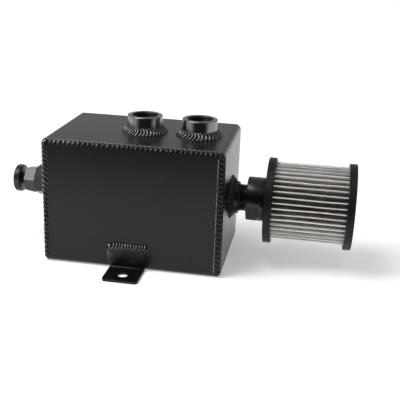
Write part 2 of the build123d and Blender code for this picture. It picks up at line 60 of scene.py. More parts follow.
# Weld beads
BEAD_INSET = 3.7 * MM  # depth of a seam bead's centre line behind the faces that it joins
BODY_BEND = 4.0 * MM  # outside radius of the bends from the base to the front and rear walls
SEAM_TURNS = (0.6 * MM, 1.3 * MM)  # of the bead's centre line, at the drain end and the breather end
SEAM_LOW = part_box("body_sheet")[0].z + BODY_BEND  # where the seam beads start
TAB_BEAD_LOW = 7.0 * MM
TAB_BEAD_TURN = 1.5 * MM
TAB_BEAD_PAST = 2.4 * MM  # how far a tab's bead runs past the leg's free side
END_SHARE = 0.2  # least share of a bead's radius at a free end
FLUSH = 0.5  # ridge value where a bead runs into the sheet, between 0 in the pits (painted shade) and 1 on the ridges (painted highlight)
RIPPLE_FADE = 22  # degrees over which the ripples' painted highlight and shade fade into the sheet's finish
FOOT_SHARE = 0.2  # how much of the ripples' painted highlight and shade is left at an upright bead's foot
TOE_BAND = 17  # degrees over which the pits fill up beside a levelled toe
TOE_SHINE = 0.4  # how far a levelled toe's ridge value lies above a flush place's, which paints a highlight line along the toe
BEAD_LAG = 1.2  # how far the ripples curve back towards a bead's edges, in pitches
SKIRT_LEG = 5.3 * MM
PORT_SKIRT_RISE = 5.5 * MM
BREATHER_SKIRT_RISE = 4.3 * MM
SKIRT_BULGE = 0.35 * MM  # how far a skirt's ridges stand out from a straight cone
SKIRT_NOTCH = 1.0 * MM  # depth of the pits between them
SKIRT_EDGE_NOTCH = 0.6 * MM  # scallops along a skirt's two edges
PORT_SKIRT_PITCHES = {"drain_side": 3.2 * MM, "breather_side": 3.6 * MM}
DRAIN_SKIRT_PITCH = 3.2 * MM
BREATHER_SKIRT_PITCH = 1.9 * MM
SKIRT_ROWS = 12  # rings of points from a skirt's foot to its top
SKIRT_LAG = 0.7  # how far a skirt's ripples curve back towards its edges, in pitches
SKIRT_SHARPNESS = 1.4
RIPPLE_SKEW = 0.85  # below 1 the pit between two ridges lies nearer to the first one
RIPPLE_STEPS = 9  # rings of points in one ripple
RIPPLE_JITTER = 0.12  # share by which ripples' lengths vary; their depths fall short by up to twice it

# Ports
BUNG_RADIUS = 14.9 * MM
BUNG_HEIGHT = 14.0 * MM
BUNG_EDGE = 0.4 * MM  # width and height of the broken edge round a bung's rim
EDGE_ROUND = ((0, 1), (0.08, 0.75), (0.75, 0.08), (1, 0))  # inward and down, in shares of that edge
BUNG_COLUMNS = 96  # points round a bung
BREATHER_BUNG_RADIUS = 13.9 * MM
PORT_CORE = 10.25 * MM
PORT_LEAD = 1.0 * MM  # depth of the cone at the bore's mouth
LEAD_LIP = 0.1  # share of that cone in its narrow first ring
THREAD_DEPTH = 0.85 * MM
THREAD_PITCH = 1.8143 * MM
THREAD_STEPS = 8  # rings of points in one pitch
THREAD_RUN_OUT = 0.6  # pitches over which the thread fades at its upper end
THREAD_ROOT = 1.35  # above 1 the thread's root is flat

# Filter element
ELEMENT_RADIUS = 33.0 * MM
PLEAT_DEPTH = 9.5 * MM
PLEAT_COUNT = 43
RIDGE_HALF = 0.45 * MM
RIDGE_ROUND = 0.75  # height of a ridge's rounding, in shares of its half width
RIDGE_ANGLES = (160, 130, 90, 50, 20)  # degrees of the points round a ridge
MESH_THICKNESS = 0.6 * MM
VALLEY_RADIUS = ELEMENT_RADIUS - PLEAT_DEPTH + MESH_THICKNESS
VALLEY_HALF = math.pi / PLEAT_COUNT * VALLEY_RADIUS  # from a pleat's middle to the next valley's middle
FOLD_HALF = 0.3 * MM  # from a valley's middle to the foot of the flank
FLOOR_HALF = 0.8 * FOLD_HALF  # the flat part of that
FLANK_DROP = 0.5 * MM  # how far below the ridge a flank ends
FLANK_SHARES = (0.25, 0.5, 0.75)  # how far up a flank its points lie
FLANK_SHINE = 0.3  # ridge value at a flank's upper end, where the painted highlight of the ridge starts to show
LEANS_MM = (-0.35, 0.35)  # how far the pleats lean halfway along
WAVES_MM = (0.05, 0.22)  # how far they wave from side to side
PINCHES_MM = (-0.12, 0.2)  # how far their flanks are pinched in; below 0 they swell
PLEAT_SEED = 41
PLEAT_ROWS = 28
WIRE_PITCH = 0.55 * MM


# Mesh helpers


def grid_faces(rows, columns, wrap):
    """Quads over rows of points, closed round each row if wrap is true."""
    faces = []
    for i in range(rows - 1):
        for j in range(columns if wrap else columns - 1):
            k = (j + 1) % columns
            faces.append((i * columns + j, i * columns + k, (i + 1) * columns + k, (i + 1) * columns + j))
    return faces


def ring_faces(rows, columns):
    """Quads over closed rings of points, with the last ring joined to the first."""
    faces = grid_faces(rows, columns, wrap=True)
    last = (rows - 1) * columns
    faces += [(last + j, last + (j + 1) % columns, (j + 1) % columns, j) for j in range(columns)]
    return faces


def on_ring(place, radius, turn, height):
    """A point at a turn round the local Z axis of a place."""
    return place @ Vector((radius * math.cos(turn), radius * math.sin(turn), height))


def new_piece(name, points, faces, body, replaced, finish):
    """A smooth mesh piece that rides on a body and stands for the given nodes."""
    mesh = bpy.data.meshes.new(name)
    mesh.from_pydata([tuple(p) for p in points], [], faces)
    mesh.polygons.foreach_set("use_smooth", [True] * len(mesh.polygons))
    mesh.materials.append(finish)
    mesh.validate()
    mesh.update()
    piece = bpy.data.objects.new(name, mesh)
    bpy.context.scene.collection.objects.link(piece)
    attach(piece, body)
    if replaced:
        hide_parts(*replaced)
    return piece


def turn_outward(piece):
    """Makes every face of a closed piece look outwards."""
    work = bmesh.new()
    work.from_mesh(piece.data)
    bmesh.ops.recalc_face_normals(work, faces=work.faces)
    work.to_mesh(piece.data)
    work.free()


# Material helpers


class Finish:
    """A principled material with a few procedural layers."""

    def __init__(self, name, colour, roughness, metallic=0.0, specular=0.5):
        self.material = bpy.data.materials.new(name)
        self.material.use_nodes = True
        self.tree = self.material.node_tree
        self.shader = self.tree.nodes["Principled BSDF"]
        self.shader.inputs["Base Color"].default_value = (*colour, 1)
        self.shader.inputs["Roughness"].default_value = roughness
        self.shader.inputs["Metallic"].default_value = metallic
        self.shader.inputs["Specular IOR Level"].default_value = specular
        self.place = self.node("ShaderNodeTexCoord").outputs["Object"]
        self.normal = None

    def node(self, kind, **settings):
        """A new node with the given settings."""
        made = self.tree.nodes.new(kind)
        for key, value in settings.items():
            setattr(made, key, value)
        return made

    def link(self, source, target):
        """Joins an output to an input."""
        self.tree.links.new(source, target)

    def math(self, operation, first, second=None):
        """A calculation with outputs or plain numbers."""
        made = self.node("ShaderNodeMath", operation=operation)
        for socket, value in zip(made.inputs, (first, second)):
            if isinstance(value, (int, float)):
                socket.default_value = value
            elif value is not None:
                self.link(value, socket)
        return made.outputs[0]

    def noise(self, scale, detail=3.0, stretch=(1, 1, 1)):
        """Noise over the piece's own coordinates."""
        place = self.place
        if stretch != (1, 1, 1):
            mapping = self.node("ShaderNodeMapping")
            mapping.inputs["Scale"].default_value = stretch
            self.link(place, mapping.inputs["Vector"])
            place = mapping.outputs["Vector"]
        made = self.node("ShaderNodeTexNoise")
        made.inputs["Scale"].default_value = scale
        made.inputs["Detail"].default_value = detail
        self.link(place, made.inputs["Vector"])
        return made.outputs["Fac"]

    def span(self, value, low, high, start=0.0, end=1.0):
        """Maps a value from start..end to low..high."""
        made = self.node("ShaderNodeMapRange")
        made.inputs["From Min"].default_value = start
        made.inputs["From Max"].default_value = end
        made.inputs["To Min"].default_value = low
        made.inputs["To Max"].default_value = high
        self.link(value, made.inputs["Value"])
        return made.outputs["Result"]

    def colours(self, value, stops):
        """A colour ramp over a value."""
        made = self.node("ShaderNodeValToRGB")
        ramp = made.color_ramp
        while len(ramp.elements) < len(stops):
            ramp.elements.new(1.0)
        for element, (position, colour) in zip(ramp.elements, stops):
            element.position = position
            element.color = (*colour, 1)
        self.link(value, made.inputs["Fac"])
        return made.outputs["Color"]

    def levels(self, value, stops):
        """A ramp of plain numbers over a value."""
        return self.colours(value, [(position, (level, level, level)) for position, level in stops])

    def blend(self, factor, first, second):
        """Mixes two colour outputs."""
        made = self.node("ShaderNodeMix", data_type="RGBA")
        self.link(factor, made.inputs["Factor"])
        self.link(first, made.inputs["A"])
        self.link(second, made.inputs["B"])
        return made.outputs["Result"]

    def bump(self, height, depth, strength=1.0):
        """Adds a relief of the given depth in metres."""
        made = self.node("ShaderNodeBump")
        made.inputs["Strength"].default_value = strength
        made.inputs["Distance"].default_value = depth
        self.link(height, made.inputs["Height"])
        if self.normal is not None:
            self.link(self.normal, made.inputs["Normal"])
        self.normal = made.outputs["Normal"]
        self.link(self.normal, self.shader.inputs["Normal"])

    def edges(self, radius):
        """1 on sharp edges and 0 on flat and gently curved places."""
        bevel = self.node("ShaderNodeBevel", samples=4)
        bevel.inputs["Radius"].default_value = radius
        dot = self.node("ShaderNodeVectorMath", operation="DOT_PRODUCT")
        self.link(bevel.outputs["Normal"], dot.inputs[0])
        self.link(self.node("ShaderNodeNewGeometry").outputs["Normal"], dot.inputs[1])
        return self.span(dot.outputs["Value"], 1.0, 0.0, start=0.82, end=0.98)

    def colour_from(self, output):
        """Takes the base colour from an output."""
        self.link(output, self.shader.inputs["Base Color"])

    def roughness_from(self, output):
        """Takes the roughness from an output."""
        self.link(output, self.shader.inputs["Roughness"])


# Finishes


def grey(value):
    """A grey with the faintest blue in it."""
    return (value, 1.01 * value, 1.08 * value)


def coat(name, roughness, grain, edge_radius):
    """Satin black coat: fine grain, faint cloudiness, and sharp edges painted lighter in patches, partly as
    wear and partly as a painted highlight along the edges.
    """
    made = Finish(name, grey(0.005), roughness, specular=0.35)
    made.shader.inputs["Specular Tint"].default_value = (0.9, 0.92, 1, 1)
    cloud = made.noise(35, 4)
    fine = made.noise(2600, 2)
    body = made.colours(cloud, [(0.3, grey(0.0042)), (0.7, grey(0.0062))])
    # lighter colour on sharp edges: partly bare wear, partly a painted highlight along the edges
    bare_and_highlit_edge = made.colours(fine, [(0.3, grey(0.02)), (0.7, grey(0.05))])
    wear_and_highlight_patches = made.span(made.noise(420, 3), 0.0, 0.6, 0.45, 0.7)
    made.colour_from(made.blend(made.math("MULTIPLY", made.edges(edge_radius), wear_and_highlight_patches), body, bare_and_highlit_edge))
    uneven = made.span(cloud, roughness - 0.04, roughness + 0.04)
    made.roughness_from(made.math("ADD", made.span(fine, -0.04, 0.04), uneven))
    made.bump(fine, grain)
    made.bump(made.noise(90, 2), 4 * grain, 0.35)
    return made.material


def weld_coat():
    """Black coat on rippled weld metal with painted light: painted shade in the pits, which are darker,
    matt and nearly without gloss, and painted highlights along the ridges, which are lighter and partly
    metallic. The ridge value is 0 in the pits, 0.5 where a bead runs into the sheet and 1 on the ridges."""
    made = Finish("weld_coat", grey(0.005), 0.3)
    ridge = made.node("ShaderNodeAttribute", attribute_name="ridge").outputs["Fac"]
    fine = made.noise(2600, 2)
    patch = made.noise(240, 3)
    strong = made.span(ridge, 0.0, 1.0, 0.6, 0.95)
    bright = made.math("MULTIPLY", strong, made.span(patch, 0.5, 1.0, 0.35, 0.6))
    # dark: painted shade in the pits; thin: painted highlight on the ridges, a lighter and partly metallic
    # colour
    dark = made.colours(fine, [(0.3, grey(0.002)), (0.7, grey(0.005))])
    thin = made.colours(fine, [(0.3, grey(0.25)), (0.7, grey(0.5))])
    made.colour_from(made.blend(bright, dark, thin))
    made.link(made.math("MULTIPLY", bright, 0.85), made.shader.inputs["Metallic"])
    # low gloss and high roughness in the pits add to their painted shade
    made.roughness_from(made.levels(ridge, [(0.0, 0.6), (FLUSH, 0.27), (1.0, 0.2)]))
    gloss = made.levels(ridge, [(0.0, 0.03), (FLUSH, 0.4), (1.0, 0.7)])
    made.link(gloss, made.shader.inputs["Specular IOR Level"])
    made.bump(fine, 0.006 * MM)
    return made.material


def turned_dark(name, axis, tone, roughness, metallic, streak=0.0):
    """Blackened metal with lathe marks that run round the given axis and streak its shine along it, and
    sharp edges painted lighter in patches, partly as wear and partly as a painted highlight.
    """
    made = Finish(name, grey(tone), roughness, metallic)
    stretch = tuple(1.0 if i == axis else 0.02 for i in range(3))
    marks = made.noise(3200, 2, stretch)
    cloud = made.noise(120, 3)
    body = made.colours(cloud, [(0.3, grey(0.85 * tone)), (0.7, grey(1.15 * tone))])
    # lighter colour on sharp edges: partly bare wear, partly a painted highlight along the edges
    bare_and_highlit_edge = made.colours(marks, [(0.3, grey(tone + 0.03)), (0.7, grey(tone + 0.09))])
    wear_and_highlight_patches = made.span(made.noise(500, 3), 0.1, 0.8, 0.4, 0.7)
    made.colour_from(made.blend(made.math("MULTIPLY", made.edges(0.35 * MM), wear_and_highlight_patches), body, bare_and_highlit_edge))
    made.roughness_from(made.span(marks, roughness - 0.06, roughness + 0.06))
    made.bump(marks, 0.012 * MM)
    round_about = made.node("ShaderNodeTangent", direction_type="RADIAL", axis="XYZ"[axis])
    made.link(round_about.outputs["Tangent"], made.shader.inputs["Tangent"])
    made.shader.inputs["Anisotropic"].default_value = streak
    made.shader.inputs["Anisotropic Rotation"].default_value = 0.25
    return made.material


def moulded_cap():
    """Matt black moulding with a mottled, slightly dusty skin."""
    made = Finish("moulded_cap", grey(0.005), 0.45, specular=0.25)
    mottle = made.noise(520, 5)
    speck = made.noise(1900, 2)
    cloud = made.noise(70, 3)
    skin = made.colours(mottle, [(0.35, grey(0.0005)), (0.62, grey(0.006))])
    dusty = made.colours(speck, [(0.4, grey(0.003)), (0.7, grey(0.022))])
    made.colour_from(made.blend(made.span(cloud, 0.0, 0.5, 0.35, 0.7), skin, dusty))
    made.roughness_from(made.span(mottle, 0.3, 0.62))
    made.bump(mottle, 0.25 * MM)
    made.bump(speck, 0.03 * MM, 0.5)
    return made.material


def woven_wire():
    """Plain-weave stainless wire, drawn over the folded sheet's own coordinates, with painted shade in the
    weave's openings and a painted highlight along the pleats' ridges.
    """
    made = Finish("woven_wire", (0.6, 0.58, 0.55), 0.4, metallic=1.0)
    split = made.node("ShaderNodeSeparateXYZ")
    made.link(made.node("ShaderNodeUVMap", uv_map="sheet").outputs["UV"], split.inputs["Vector"])
    waves = []
    for axis in ("X", "Y"):
        turns = made.math("MULTIPLY", split.outputs[axis], math.pi)
        waves.append(made.math("ABSOLUTE", made.math("SINE", turns)))
    wires = made.math("MAXIMUM", *waves)
    tone = made.noise(160, 4)
    lit = made.colours(tone, [(0.3, (0.66, 0.63, 0.60)), (0.7, (0.82, 0.79, 0.755))])
    # painted shade in the weave's openings
    opening_shade = made.colours(tone, [(0.3, (0.14, 0.13, 0.12)), (0.7, (0.22, 0.21, 0.195))])
    # painted highlight along the pleats' ridges
    fold_highlight = made.colours(tone, [(0.3, (0.82, 0.80, 0.77)), (0.7, (0.95, 0.94, 0.92))])
    sheet = made.blend(made.span(wires, 0.0, 1.0, 0.45, 0.85), opening_shade, lit)
    ridge = made.node("ShaderNodeAttribute", attribute_name="ridge").outputs["Fac"]
    made.colour_from(made.blend(ridge, sheet, fold_highlight))
    made.roughness_from(made.span(tone, 0.3, 0.46))
    made.bump(wires, 0.12 * MM, 0.6)
    return made.material


def bare_metal(name, colour, roughness, stretch):
    """Plain metal with rolling marks along one direction."""
    made = Finish(name, colour, roughness, metallic=1.0)
    marks = made.noise(900, 3, stretch)
    low = tuple(0.75 * c for c in colour)
    made.colour_from(made.colours(marks, [(0.3, low), (0.7, colour)]))
    made.roughness_from(made.span(marks, roughness - 0.08, roughness + 0.1))
    made.bump(marks, 0.01 * MM)
    return made.material


def seal_rubber():
    """Matt black rubber with a faint bloom."""
    made = Finish("seal_rubber", (0.015, 0.015, 0.015), 0.6)
    bloom = made.noise(700, 4)
    made.colour_from(made.colours(bloom, [(0.35, (0.010, 0.010, 0.010)), (0.7, (0.030, 0.030, 0.031))]))
    made.roughness_from(made.span(bloom, 0.5, 0.75))
    made.bump(bloom, 0.03 * MM, 0.5)
    return made.material


TANK_COAT = coat("tank_coat", 0.27, 0.012 * MM, 0.5 * MM)
DRESSED_COAT = coat("dressed_coat", 0.32, 0.02 * MM, 0.4 * MM)
# a darker, rougher coat for the tapped bores: painted shade inside the holes
BORE_SHADE_COAT = coat("bore_shade_coat", 0.45, 0.01 * MM, 0.3 * MM)
WELD_COAT = weld_coat()
PORT_METAL = turned_dark("port_metal", 2, 0.22, 0.22, 1.0, 0.3)
FITTING_COAT = turned_dark("fitting_coat", 0, 0.005, 0.28, 0.0)
DRAIN_COAT = turned_dark("drain_coat", 0, 0.012, 0.3, 0.0)
CAP_SKIN = moulded_cap()
WIRE = woven_wire()
BARE_SHEET = bare_metal("bare_sheet", (0.72, 0.72, 0.73), 0.35, (1, 1, 0.03))
CORE_STEEL = bare_metal("core_steel", (0.58, 0.57, 0.56), 0.3, (0.03, 1, 1))
RUBBER = seal_rubber()

NODE_FINISHES = {
    "body_sheet": TANK_COAT,
    "cover_sheet": TANK_COAT,
    "front_tab": TANK_COAT,
    "rear_tab": TANK_COAT,
    "base_weld_drain_end": DRESSED_COAT,
    "base_weld_breather_end": DRESSED_COAT,
    "baffle_plate": BARE_SHEET,
    "breather_bung": FITTING_COAT,
    "drain_bung": DRAIN_COAT,
    "breather_adapter": FITTING_COAT,
    "drain_adapter": DRAIN_COAT,
    "drain_valve_body": DRAIN_COAT,
    "drain_stem": DRAIN_COAT,
    "drain_knob": DRAIN_COAT,
    "filter_base_cap": CAP_SKIN,
    "filter_end_cap": CAP_SKIN,
    "filter_core": CORE_STEEL,
    "breather_seal": RUBBER,
    "drain_seal": RUBBER,
    "drain_stem_ring": RUBBER,
}

for name, finish in NODE_FINISHES.items():
    mesh = nodes[name].data
    mesh.materials.clear()
    mesh.materials.append(finish)


# Welds


class Ripples:
    """Uneven ripples along a bead: height 1 on the ridges and down to 0 in the pits between them."""

    def __init__(self, length, pitch, sharpness, seed):
        draw = random.Random(seed)
        count = max(3, round(length / pitch))
        steps = [1 + RIPPLE_JITTER * draw.uniform(-1, 1) for _ in range(count)]
        scale = length / sum(steps)
        self.marks = [0.0]
        for step in steps:
            self.marks.append(self.marks[-1] + step * scale)
        self.depths = [1 - 2 * RIPPLE_JITTER * draw.random() for _ in range(count)]
        self.length = length
        self.sharpness = sharpness

    def at(self, place):
        """Height at a place along the bead, which goes on evenly past its ends."""
        place %= self.length
        low = min(bisect.bisect_right(self.marks, place), len(self.depths)) - 1
        share = (place - self.marks[low]) / (self.marks[low + 1] - self.marks[low])
        side = abs(2 * share ** RIPPLE_SKEW - 1)
        return 1 - self.depths[low] * (1 - side**self.sharpness)


def mark_ridges(piece, values):
    """Keeps each point's ridge value for the finish, which paints highlights from it and, on the welds,
    shade in the pits.
    """
    piece.data.attributes.new("ridge", "FLOAT", "POINT").data.foreach_set("value", values)


def arch_path(half, low, top, turns, step, past=None):
    """Points (x, z, out x, out z, length so far) up one side and over the top, and from there either
    down the other side or straight on past it."""
    first, second = turns

    def rising(s):
        return -half, low + s, -1.0, 0.0

    def first_corner(s):
        across, up = math.cos(s / first), math.sin(s / first)
        return first - half - first * across, top - first + first * up, -across, up

    def level(s):
        return first - half + s, top, 0.0, 1.0

    def second_corner(s):
        across, up = math.sin(s / second), math.cos(s / second)
        return half - second + second * across, top - second + second * up, across, up

    def falling(s):
        return half, top - second - s, 1.0, 0.0

    runs = [(top - first - low, rising), (math.pi / 2 * first, first_corner)]
    if past is None:
        runs.append((2 * half - first - second, level))
        runs.append((math.pi / 2 * second, second_corner))
        runs.append((top - second - low, falling))
    else:
        runs.append((2 * half - first + past, level))
    total = sum(length for length, _ in runs)
    count = round(total / step)
    path = []
    for i in range(count + 1):
        s = along = total * i / count
        for length, run in runs:
            if along <= length or run is runs[-1][1]:
                path.append((*run(min(along, length)), s))
                break
            along -= length
    return path, total


class PathExtent(NamedTuple):
    """How far a bead's path reaches to either side, and the height at which it starts."""

    reach: float
    low: float


class BeadKind(NamedTuple):
    """The section of a bead along an arch: lengths in metres, angles in degrees from outward to forward."""

    name: str
    root: float  # radius in the pits
    crest: float  # radius on the ridges
    pitch: float  # of the ripples
    sharpness: float  # of the ridges
    inset: float  # depth of the centre line behind the faces that it joins
    run_out: float  # length over which a free end thins out, or 0 where no end is free
    arc: tuple  # first angle, last angle, steps
    lifts: tuple  # how far forward it stands at the drain end, along the top and at the breather end
    spread: float  # how far outward it stands at the drain end
    # Strength of the painted highlights on the ridges, set by how the light falls, at the drain end, at the
    # far end of the top and at the breather end: 1 is full, 0 is as flush places are, and below 0 is matt.
    # Above 1 the highlighted band is wider.
    shines: tuple
    foot: float  # height from the bead's start over which its ripples come to show fully
    toe: float  # how far the pits are filled beside the top sheet and beside the wall at the breather end, where a highlight line is painted along the toe


SEAM = BeadKind(
    name="seam",
    root=3.1 * MM,
    crest=3.85 * MM,
    pitch=3.9 * MM,
    sharpness=2.4,
    inset=BEAD_INSET,
    run_out=0.0,
    arc=(-60, 165, 26),
    lifts=(1.0 * MM, 0.1 * MM, 0.5 * MM),
    spread=0.35 * MM,
    shines=(1.15, -0.3, 0.25),
    foot=75.0 * MM,
    toe=1.0,
)
TAB = BeadKind(
    name="tab",
    root=2.7 * MM,
    crest=3.6 * MM,
    pitch=2.4 * MM,
    sharpness=2.2,
    inset=0.0,
    run_out=2.6 * MM,
    arc=(-10, 150, 16),
    lifts=(0.0, 0.0, 0.0),
    spread=0.0,
    shines=(2.4, 1.3, 1.3),
    foot=2.0 * MM,
    toe=0.0,
)


def end_share(kind, s, length):
    """The share of a bead's radius that is left at a place along it."""
    if not kind.run_out:
        return 1.0
    short = 1 - min(1.0, min(s, length - s) / kind.run_out)
    return max(END_SHARE, math.sqrt(1 - short * short))


def bead_finish(kind, x_share, top, rise):
    """How strong the painted highlights on the ridges are at a spot of a bead, and how far its ripples'
    painted highlight and shade show there.
    """
    at_drain, top_far, at_breather = kind.shines
    far_shine = top * top_far + (1 - top) * at_breather
    shine = (1 - x_share) * at_drain + x_share * far_shine
    return shine, FOOT_SHARE + (1 - FOOT_SHARE) * min(1.0, rise / kind.foot)


def bead_ring(kind, spot, ripples, extent, facing, centre):
    """A bead's points and ridge values round one spot of its path."""
    x, z, out_x, out_z, s = spot
    drain, top, breather = max(-out_x, 0), max(out_z, 0), max(out_x, 0)
    lift = sum(part * height for part, height in zip((drain, top, breather), kind.lifts))
    spread = kind.spread * drain
    core = Vector((centre.x + x + spread * out_x, centre.y + facing * lift, z + spread * out_z))
    first = -math.degrees(math.acos((kind.inset - spread) / kind.crest))
    last = 90 + math.degrees(math.acos((kind.inset - lift) / kind.crest))
    shine, shown = bead_finish(kind, (1 + x / extent.reach) / 2, top, z - extent.low)
    thin = end_share(kind, s, ripples.length)
    low_turn, high_turn, steps = kind.arc
    points, ridges = [], []
    for j in range(steps + 1):
        turn = low_turn + (high_turn - low_turn) * j / steps
        angle = math.radians(turn)
        lag = BEAD_LAG * kind.pitch * (1 - math.cos(angle - math.radians((first + last) / 2)))
        on_top = top * max(0.0, 1 - abs(turn - first - TOE_BAND) / TOE_BAND)
        on_wall = breather * max(0.0, 1 - abs(last - turn) / TOE_BAND)
        toe = kind.toe * max(on_top, on_wall)
        height = ripples.at(s + lag)
        height += toe * (1 - height)
        radius = thin * (kind.root + (kind.crest - kind.root) * height)
        across, forward = math.cos(angle), math.sin(angle)
        points.append(core + radius * Vector((across * out_x, facing * forward, across * out_z)))
        # The ridge value paints shade in the pits and highlights on the ridges, faded beside the sheets, at
        # the foot and by the highlight strength; a levelled toe gets a painted highlight line.
        clear = min(turn - first, last - turn) / RIPPLE_FADE
        relief = (height - FLUSH) * max(0, min(1, clear))
        relief *= shine * shown if relief > 0 else (1 + shown) / 2
        ridges.append(FLUSH + relief + toe * (TOE_SHINE - relief))
    return [*points, core], [*ridges, FLUSH]


def arch_bead(side, kind, centre, facing, arch, seed):
    """A rippled bead round an arch in X and Z. facing is -1 for the front and 1 for the rear."""
    path, total = arch
    ripples = Ripples(total, kind.pitch, kind.sharpness, seed)
    extent = PathExtent(reach=max(abs(spot[0]) for spot in path), low=path[0][1])
    points, ridges = [], []
    for spot in path:
        ring, values = bead_ring(kind, spot, ripples, extent, facing, centre)
        points += ring
        ridges += values
    columns = len(points) // len(path)
    faces = grid_faces(len(path), columns, wrap=True)
    faces.append(tuple(range(columns)))
    faces.append(tuple(reversed(range(len(points) - columns, len(points)))))
    name, node = f"{side}_{kind.name}_bead", f"{side}_{kind.name}_weld"
    piece = new_piece(name, points, faces, "tank", [node], WELD_COAT)
    turn_outward(piece)
    mark_ridges(piece, ridges)
    return piece


def seam_beads():
    """Beads up both sides and along the top of the front and rear walls."""
    half = (TANK_HIGH.x - TANK_LOW.x) / 2 - BEAD_INSET
    arch = arch_path(half, SEAM_LOW, TANK_HIGH.z - BEAD_INSET, SEAM_TURNS, SEAM.pitch / RIPPLE_STEPS)
    for side, facing, face, seed in (("front", -1, FRONT_FACE, 11), ("rear", 1, REAR_FACE, 12)):
        centre = Vector((TANK_MIDDLE_X, face - facing * BEAD_INSET, 0))
        arch_bead(side, SEAM, centre, facing, arch, seed)


def tab_beads():
    """Beads up one side and along the top of each tab's leg; the rear one is turned half round."""
    turns = (TAB_BEAD_TURN, TAB_BEAD_TURN)
    for side, facing, face, seed in (("front", -1, FRONT_FACE, 21), ("rear", 1, REAR_FACE, 22)):
        tab_low, tab_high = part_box(f"{side}_tab")
        half = (tab_high.x - tab_low.x) / 2
        step = TAB.pitch / RIPPLE_STEPS
        path, total = arch_path(half, TAB_BEAD_LOW, tab_high.z, turns, step, TAB_BEAD_PAST)
        path = [(-facing * x, z, -facing * out_x, out_z, s) for x, z, out_x, out_z, s in path]
        centre = Vector(((tab_low.x + tab_high.x) / 2, face, 0))
        arch_bead(side, TAB, centre, facing, (path, total), seed)


def skirt_bead(name, node, place, bung_radius, rise, pitch, seed):
    """A rippled fillet weld round the foot of a bung. place turns local Z out of the wall."""
    foot = bung_radius + SKIRT_LEG
    length = 2 * math.pi * foot
    ripples = Ripples(length, pitch, SKIRT_SHARPNESS, seed)
    columns = round(length / pitch) * RIPPLE_STEPS
    slope = math.hypot(SKIRT_LEG, rise)
    out = (rise / slope, SKIRT_LEG / slope)
    points, ridges = [], []
    for i in range(SKIRT_ROWS):
        share = i / (SKIRT_ROWS - 1)
        crown = 4 * share * (1 - share)
        for j in range(columns):
            turn = 2 * math.pi * j / columns
            lag = SKIRT_LAG * pitch * (2 * share - 1) ** 2
            groove = 1 - ripples.at(length * j / columns + lag)
            # ridge value: painted shade in the pits and painted highlight on the ridges
            ridges.append(1 - groove)
            lift = (SKIRT_BULGE - SKIRT_NOTCH * groove) * crown
            radius = foot - SKIRT_LEG * share - SKIRT_EDGE_NOTCH * groove * (1 - share) + out[0] * lift
            height = rise * share - SKIRT_EDGE_NOTCH * groove * share + out[1] * lift
            points.append(on_ring(place, radius, turn, height))
    for j in range(columns):
        points.append(on_ring(place, bung_radius, 2 * math.pi * j / columns, 0))
        ridges.append(0.0)
    faces = ring_faces(SKIRT_ROWS + 1, columns)
    piece = new_piece(name, points, faces, "tank", [node], WELD_COAT)
    turn_outward(piece)
    mark_ridges(piece, ridges)
    return piece


def port_place(side):
    """The middle of a port's foot on the top sheet."""
    low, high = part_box(f"inlet_bung_{side}")
    return Matrix.Translation(((low.x + high.x) / 2, (low.y + high.y) / 2, low.z))


def skirt_beads():
    """The welds round the feet of the four bungs."""
    breather = Matrix.Translation((TANK_HIGH.x, 0, AXIS_HEIGHT)) @ Matrix.Rotation(math.pi / 2, 4, "Y")
    drain = Matrix.Translation((TANK_LOW.x, 0, AXIS_HEIGHT)) @ Matrix.Rotation(-math.pi / 2, 4, "Y")
    sizes = (BREATHER_BUNG_RADIUS, BREATHER_SKIRT_RISE, BREATHER_SKIRT_PITCH)
    skirt_bead("breather_bung_bead", "breather_bung_weld", breather, *sizes, 31)
    sizes = (BUNG_RADIUS, PORT_SKIRT_RISE, DRAIN_SKIRT_PITCH)
    skirt_bead("drain_bung_bead", "drain_bung_weld", drain, *sizes, 32)
    for side, seed in (("drain_side", 33), ("breather_side", 34)):
        sizes = (BUNG_RADIUS, PORT_SKIRT_RISE, PORT_SKIRT_PITCHES[side])
        skirt_bead(f"inlet_bead_{side}", f"inlet_weld_{side}", port_place(side), *sizes, seed)


# Ports


def thread_radius(turn, height):
    """The tapped bore's radius, which fades to the plain bore at both ends."""
    phase = (height / THREAD_PITCH - turn / (2 * math.pi)) % 1.0
    tooth = 1 - abs(2 * phase - 1)
    top = BUNG_HEIGHT - PORT_LEAD
    fade = min(1.0, height / THREAD_PITCH, (top - height) / (THREAD_RUN_OUT * THREAD_PITCH))
    return PORT_CORE + THREAD_DEPTH * max(0.0, fade) * min(1.0, THREAD_ROOT * tooth)


